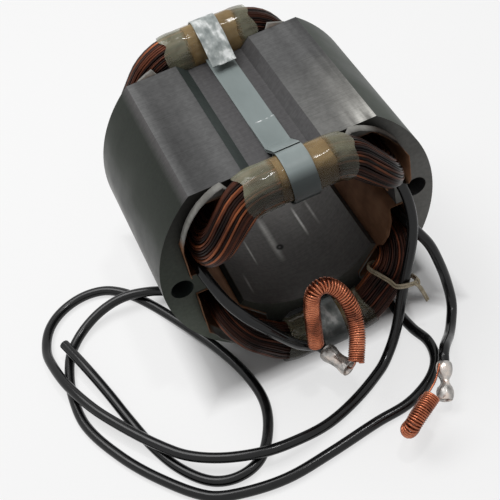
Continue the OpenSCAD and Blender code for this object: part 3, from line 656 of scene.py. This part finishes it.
# painted shade where the strap turns down
tree.links.new(painted_shade_below(tree, colour), shader.inputs["Base Color"])
tree.links.new(ramp(tree, smear, (0.3, 0.26), (0.7, 0.42)), shader.inputs["Roughness"])
relief(tree, shader, crinkles, 0.2, 0.1)


def strap_point(column, row, sz):
    """Where a corner of the strap lies: crinkled at the loose rear end, dog-eared at the front lap's end."""
    p, u = strap_line[row], column / strap_columns
    loose = 1.0 if row < len(flap) + 4 else 0.5 if sz < 0 and p.y < -30 else 0.12
    lift = loose * 0.3 * noise.noise(Vector((u * 4, p.y * 0.45, 5)))
    # past the rear end the strap is tight, and crinkles inwards only
    if row >= len(flap):
        lift = -0.5 * abs(lift)
    if row == len(strap_line) - 1:
        lift += 0.25 * abs(2 * u - 1) ** 3
    aside = min(1.0, max(0.0, (-18 - p.y) / 14))
    return strap_x + (loop_x - strap_x) * aside + strap_w * (u - 0.5), p.y + 0.2 * lift, sz * (p.z + lift)


for tier, sz in (("upper", 1), ("lower", -1)):
    bm = sheet(strap_columns, len(strap_line) - 1, lambda c, r, sz=sz: strap_point(c, r, sz))
    piece = finished(f"strap_{tier}", bm, grey_plastic)
    thickened(piece, strap_wall, 0)
    rounded = piece.modifiers.new("edges", "BEVEL")
    rounded.width = strap_edge * mm
    rounded.segments = 2
    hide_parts(f"{tier}_strap")


# Leads. Four black rubber-insulated leads come out at the front: two short ones to the brush terminals,
# and two long supply leads that lie in loose loops on the table with plain cut ends.
lead_d, lying_z = 3.1, -36.7
brush_left_route = [
    (-30.3, -14, 8), (-30, -26, 7), (-29, -30.5, 4.3), (-27, -36, 0.3),
    (-23.6, -40, -4.8), (-19.6, -41.8, -10.4), (-15.8, -42.2, -16.6), (-12.2, -42, -22.4),
    (-9.8, -41.5, -25.4), (-7.6, -41.7, -26.9), (-6.1, -42.8, -27.2), (-5.4, -44.5, -27.3)]
brush_right_route = [
    (30.3, -14, -8), (30.4, -26.5, -7.8), (31.4, -32, -9), (34.3, -35, -14.6),
    (36, -37.4, -22), (37, -39.2, -29.5), (36.4, -42.6, -35.4), (33, -48, -36.8), (30, -52.2, -35.4),
    (27.4, -55.6, -32.6), (25.3, -58.4, -30.4), (23.6, -60.8, -29.9), (22.7, -62.5, -30.5)]
supply_right_route = [
    (30.3, -14, 8), (30.6, -26, 6.6), (30.9, -30.5, 2.6), (30, -34.4, -2.8),
    (27.5, -37.6, -8.4), (22.2, -41.2, -19.6), (17.2, -45, -30.6),
    (13, -48, -35.4), (7.3, -52.2, -36.8), (-2.3, -57.3, -36.8), (-13.2, -61.2, -36.4),
    (-23.4, -62.9, -34.6), (-34, -62.4, -33.4), (-46.4, -57.6, -33.4), (-55.8, -50.2, -33.4),
    (-69.9, -29.4, -33.4), (-76.6, -14.5, -33.4), (-79.4, -2, -34.8),
    (-79.6, 6, -36.4), (-76.4, 14, -36.8), (-70, 19.2, -36.8), (-61.6, 21, -36.8), (-54, 18.6, -36.8),
    (-46.4, 10, -36.8), (-34.6, -13.3, -36.8), (-30, -25, -36.8), (-27.2, -35.6, -36.8),
    (-26.6, -45.6, -36.8), (-29.4, -54.6, -36.8), (-35, -62, -36.8), (-42.4, -64.2, -36.8),
    (-49.6, -61.8, -36.8), (-56, -54.2, -36.8), (-60.6, -44, -36.8), (-64, -32, -36.2), (-66.8, -21, -34.6),
    (-70, -9.6, -33.4), (-73.6, 2.4, -33.2)]
supply_low_route = [
    (19, -14, -36.8), (21.7, -30, -36.8), (21.7, -37, -36.8), (22.6, -44, -36.8),
    (24.2, -50, -36.8), (23.2, -56, -36.8), (19.8, -60.6, -36.8), (14.6, -64, -36.8), (8.2, -66.3, -36.8),
    (-1, -67.2, -36.8), (-17.2, -69.7, -36.8), (-30.9, -71, -36.8), (-44.1, -69, -36.8),
    (-52.4, -65.4, -36.8), (-62.4, -54.2, -36.8), (-70.4, -41.6, -36.8), (-76.4, -27, -36.8),
    (-77, -14.5, -36.8), (-75.4, -5.6, -36.8), (-72.4, 1.6, -36.8), (-66.4, 7.4, -36.2), (-58.6, 10.4, -34.6),
    (-50.6, 10.6, -33.4), (-42.4, 8.4, -33.6), (-34, 5.4, -35.6), (-25, 3.6, -36.8),
    (-4, 5.4, -36.8), (4, 10, -36.8)]

black_rubber, tree, shader = material("black_rubber", {"Specular IOR Level": 0.3})
place = add(tree, "TexCoord").outputs["Object"]
scuff = grain(tree, place, 140.0, 4.0)
tree.links.new(
    ramp(tree, scuff, (0.3, (0.002, 0.002, 0.0025)), (0.75, (0.007, 0.0075, 0.008))), shader.inputs["Base Color"])
tree.links.new(ramp(tree, scuff, (0.3, 0.13), (0.7, 0.26)), shader.inputs["Roughness"])
relief(tree, shader, grain(tree, place, 1800.0, 2.0), 0.06, 0.05)


def lead_curve(name, route, replaced):
    """A lead as one smooth open curve through its route, level where it lies on the table."""
    data = bpy.data.curves.new(name, "CURVE")
    data.dimensions = "3D"
    data.bevel_depth = lead_d / 2 * mm
    data.bevel_resolution = 5
    data.resolution_u = 8
    data.use_fill_caps = True
    spline = data.splines.new("BEZIER")
    spline.bezier_points.add(len(route) - 1)
    stops = [Vector(p) for p in route]
    for i, (target, p) in enumerate(zip(spline.bezier_points, stops)):
        before, after = stops[max(i - 1, 0)], stops[min(i + 1, len(stops) - 1)]
        heading = after - before
        if p.z < lying_z:
            heading.z = 0
        heading.normalize()
        target.handle_left_type = target.handle_right_type = "FREE"
        target.co = p * mm
        target.handle_left = (p - heading * (p - before).length / 3) * mm
        target.handle_right = (p + heading * (after - p).length / 3) * mm
    piece = bpy.data.objects.new(name, data)
    scene.collection.objects.link(piece)
    data.materials.append(black_rubber)
    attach(piece, "root")
    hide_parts(replaced)
    return piece


brush_lead_l = lead_curve("lead_brush_left", brush_left_route, "brush_lead_left")
brush_lead_r = lead_curve("lead_brush_right", brush_right_route, "brush_lead_right")
supply_lead_r = lead_curve("lead_supply_right", supply_right_route, "supply_lead_right")
supply_lead_l = lead_curve("lead_supply_low", supply_low_route, "supply_lead_low")


# Ferrules. A tinned copper crimp sleeve joins each brush lead to its spring terminal: round at the lead, squeezed to
# a flat waist in the middle, open and crumpled at the spring's side.
ferrule_left_ends = ((-5.4, -44.5, -27.3), (-2, -53.2, -27.9))
ferrule_right_ends = ((22.7, -62.5, -30.5), (17.7, -71.9, -34))

tinned, tree, shader = material("tinned_copper", {"Metallic": 0.7, "Specular IOR Level": 0.4})
place = add(tree, "TexCoord").outputs["Object"]
dull = grain(tree, place, 260.0, 4.0)
tree.links.new(
    ramp(tree, dull, (0.32, (0.14, 0.137, 0.128)), (0.5, (0.46, 0.44, 0.42)), (0.68, (0.8, 0.68, 0.6))),
    shader.inputs["Base Color"])
tree.links.new(ramp(tree, dull, (0.3, 0.42), (0.7, 0.2)), shader.inputs["Roughness"])
relief(tree, shader, grain(tree, place, 600.0, 3.0), 0.35, 0.15)


def crimped(name, ends, profile, flatten, twist, seed, replaced):
    """A ferrule spun from its profile of radius and share of its length, flattened at its waist and crumpled."""
    start, stop = Vector(ends[0]), Vector(ends[1])
    length = (stop - start).length
    bm = bmesh.new()
    verts = [bm.verts.new(Vector((px, 0, share * length)) * mm) for px, share in profile]
    edges = [bm.edges.new(pair) for pair in zip(verts, verts[1:])]
    bmesh.ops.spin(
        bm, geom=verts + edges, cent=(0, 0, 0), axis=(0, 0, 1), angle=2 * math.pi, steps=36, use_merge=True)
    bmesh.ops.subdivide_edges(bm, edges=bm.edges[:], cuts=1, use_grid_fill=True, smooth=0.35)
    for v in bm.verts:
        p = v.co / mm
        t = p.z / length
        squeeze = flatten * math.exp(-((t - 0.52) / 0.14) ** 2)
        dent = noise.noise(Vector((p.x * 0.7 + seed, p.y * 0.7, p.z * 0.5))) * (0.12 + 0.3 * max(0.0, t - 0.45))
        p.y *= (1 - squeeze) * (1 + dent)
        p.x *= 1 + 0.35 * squeeze - 0.6 * dent
        v.co = p * mm
    turn = (stop - start).to_track_quat("Z", "Y").to_matrix().to_4x4() @ Matrix.Rotation(twist, 4, "Z")
    bmesh.ops.transform(bm, verts=bm.verts, matrix=Matrix.Translation(start * mm) @ turn)
    bmesh.ops.remove_doubles(bm, verts=bm.verts, dist=0.02 * mm)
    bmesh.ops.recalc_face_normals(bm, faces=bm.faces)
    piece = finished(name, bm, tinned)
    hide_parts(replaced)
    return piece


ferrule_l = crimped("crimp_left", ferrule_left_ends, [
    (0.1, 0.01), (1.9, 0.01), (2.5, 0.06), (2.6, 0.25), (2.15, 0.42), (2.05, 0.56), (2.25, 0.76), (2.5, 0.96),
    (2.45, 1.0), (2.1, 0.98), (1.6, 0.76), (1.4, 0.62), (0.1, 0.6)], 0.15, 0.4, 2.0, "ferrule_left")
ferrule_r = crimped("crimp_right", ferrule_right_ends, [
    (0.1, 0.01), (1.6, 0.01), (2.1, 0.06), (2.3, 0.2), (2.05, 0.36), (1.6, 0.46), (1.55, 0.56), (2.2, 0.68),
    (2.35, 0.84), (2.1, 0.98), (1.8, 1.0), (1.5, 0.95), (1.3, 0.75), (0.1, 0.62)], 0.3, 1.1, 7.0, "ferrule_right")


# Spring terminals. Close-wound springs of bare copper wire, each bent into a bow that later hooks over a brush
# holder, with its turns pulled apart on the outer bend. The last turn runs on as a tail into the ferrule.
spring_d, spring_wire = 4.7, 0.62
spring_left_route = [
    (-8.4, -47.6, -18.7), (-7.7, -46.7, -11.6), (-6.6, -45.4, -4.4), (-5, -45.1, 0.1), (-1.7, -44.8, 0.4),
    (1.3, -45.8, -2.5), (2.9, -47.9, -6.6), (3.2, -49.9, -11.3), (1.8, -53.6, -14.7), (-1.4, -58.4, -18.7)]
spring_right_route = [
    (13.2, -69.5, -33.6), (10.9, -71.6, -32.8), (7.4, -74.3, -31.8), (4.6, -76.8, -30.8), (3.2, -78.3, -28.4),
    (4.3, -79, -25.6), (8, -77.4, -24), (12.4, -75, -23.5)]
tail_left_route = [(-1.4, -57.9, -18.9), (-1.6, -57, -21.5), (-1.9, -55, -25.5), (-2.1, -52.6, -27.8)]
tail_right_route = [
    (13, -69.3, -32.2), (14.8, -68.6, -31.2), (17.2, -67.2, -30.4), (19.2, -65.2, -29.8), (20.8, -63.4, -29.2)]
# shares of each spring's length between which its turns stand apart in pairs, and the pitch there and elsewhere
spring_open = {"left": (0.42, 0.78), "right": (0.12, 0.3)}
pitch_open, pitch_close = 1.6, 1.03


def smooth_route(route, steps):
    """Points on a smooth curve through a route."""
    p = [Vector(q) for q in route]
    p = [2 * p[0] - p[1]] + p + [2 * p[-1] - p[-2]]
    line = []
    for a, b, c, d in zip(p, p[1:], p[2:], p[3:]):
        for j in range(steps):
            t = j / steps
            line.append(0.5 * (
                2 * b + (c - a) * t + (2 * a - 5 * b + 4 * c - d) * t ** 2 + (3 * b - a - 3 * c + d) * t ** 3))
    return line + [p[-2]]


def wound(line, radius, opened, per_turn):
    """A close helix of that radius round a line of points, opened out between two shares of its length."""
    lengths = [0.0]
    for a, b in zip(line, line[1:]):
        lengths.append(lengths[-1] + (b - a).length)
    side = (line[1] - line[0]).orthogonal().normalized()
    helix, k, s, angle = [], 0, 0.0, 0.0
    while s < lengths[-1]:
        while k < len(lengths) - 2 and lengths[k + 1] < s:
            k += 1
        along = (line[k + 1] - line[k]).normalized()
        side = (side - along * side.dot(along)).normalized()
        middle = line[k].lerp(line[k + 1], (s - lengths[k]) / (lengths[k + 1] - lengths[k]))
        helix.append(middle + side * (radius * math.cos(angle)) + along.cross(side) * (radius * math.sin(angle)))
        paired = opened[0] < s / lengths[-1] < opened[1] and int(angle / (2 * math.pi)) % 2
        apart = pitch_open if paired else pitch_close
        s += spring_wire * apart / per_turn
        angle += 2 * math.pi / per_turn
    return helix


bare_copper, tree, shader = material("bare_copper", {"Metallic": 0.75, "Roughness": 0.26, "Specular IOR Level": 0.4})
place = add(tree, "TexCoord").outputs["Object"]
tarnish = grain(tree, place, 220.0, 3.0)
tree.links.new(
    ramp(tree, tarnish, (0.3, (0.14, 0.04, 0.02)), (0.5, (0.38, 0.115, 0.055)), (0.72, (0.62, 0.23, 0.12))),
    shader.inputs["Base Color"])
relief(tree, shader, grain(tree, place, 1200.0, 2.0), 0.08, 0.03)

for side, route, tail in (
        ("left", spring_left_route, tail_left_route), ("right", spring_right_route, tail_right_route)):
    coil = wound(smooth_route(route, 12), (spring_d - spring_wire) / 2, spring_open[side], 16)
    piece = wire_curve(f"terminal_{side}", [coil, smooth_route(tail, 8)], spring_wire, False, [bare_copper])
    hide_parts(f"spring_{side}")


# Lacing tie. A doubled beige lacing cord binds the supply lead to the lower coil: round the bundle, over the lead,
# and off in a flat knot with a short frayed tail.
tie_d, tie_beside = 0.72, 0.37
tie_route = [
    (25.8, -42, -19.3), (22.3, -43.3, -17), (20.1, -41.2, -18.2), (19.4, -38, -18.6), (17.6, -34.6, -18),
    (16.8, -31.6, -18.8), (17.2, -28.6, -20.4), (19.3, -26.3, -22.6), (22.6, -26.3, -24.6), (25.6, -28.4, -26),
    (27.2, -32.4, -25.2), (27.6, -36.8, -23.2), (27.2, -39.8, -21), (25.8, -42, -19.3)]
tail_route = [(25.8, -42, -19.3), (26.7, -42.7, -22.1), (27.7, -43, -25.7), (28.1, -43.6, -27.5)]

beige_cord, tree, shader = material("beige_lacing_cord", {"Roughness": 0.8, "Specular IOR Level": 0.25})
place = add(tree, "TexCoord").outputs["Object"]
strands = add(tree, "TexWave", {"Vector": place, "Scale": 700.0, "Distortion": 2.0, "Detail": 2.0}).outputs["Fac"]
colour = ramp(tree, grain(tree, place, 400.0, 3.0), (0.3, (0.36, 0.3, 0.2)), (0.7, (0.66, 0.58, 0.44)))
colour = mixed(tree, 0.4, colour, ramp(tree, strands, (0.2, 0.65), (0.8, 1.1)), "MULTIPLY")
tree.links.new(colour, shader.inputs["Base Color"])
relief(tree, shader, strands, 0.4, 0.1)

ring, tail = smooth_route(tie_route, 6), smooth_route(tail_route, 6)
middle = sum(ring, Vector()) / len(ring)
beside = sum(((a - middle).cross(b - middle) for a, b in zip(ring, ring[1:])), Vector()).normalized() * tie_beside
knot = Vector(tie_route[0])
knot_loop = [
    knot + Vector((1.0 * math.cos(a), 0.75 * math.sin(a), 0.8 * math.sin(2 * a + 0.6)))
    for a in (2 * math.pi * i / 24 for i in range(25))]
strand_lines = [[p + beside for p in ring], [p - beside for p in ring], knot_loop]
strand_lines += [tail, [p + Vector((0.55, 0.3, 0.1)) * min(1, i / 6) for i, p in enumerate(tail)]]
tie = wire_curve("lacing", strand_lines, tie_d, False, [beige_cord])
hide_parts("lacing_tie")
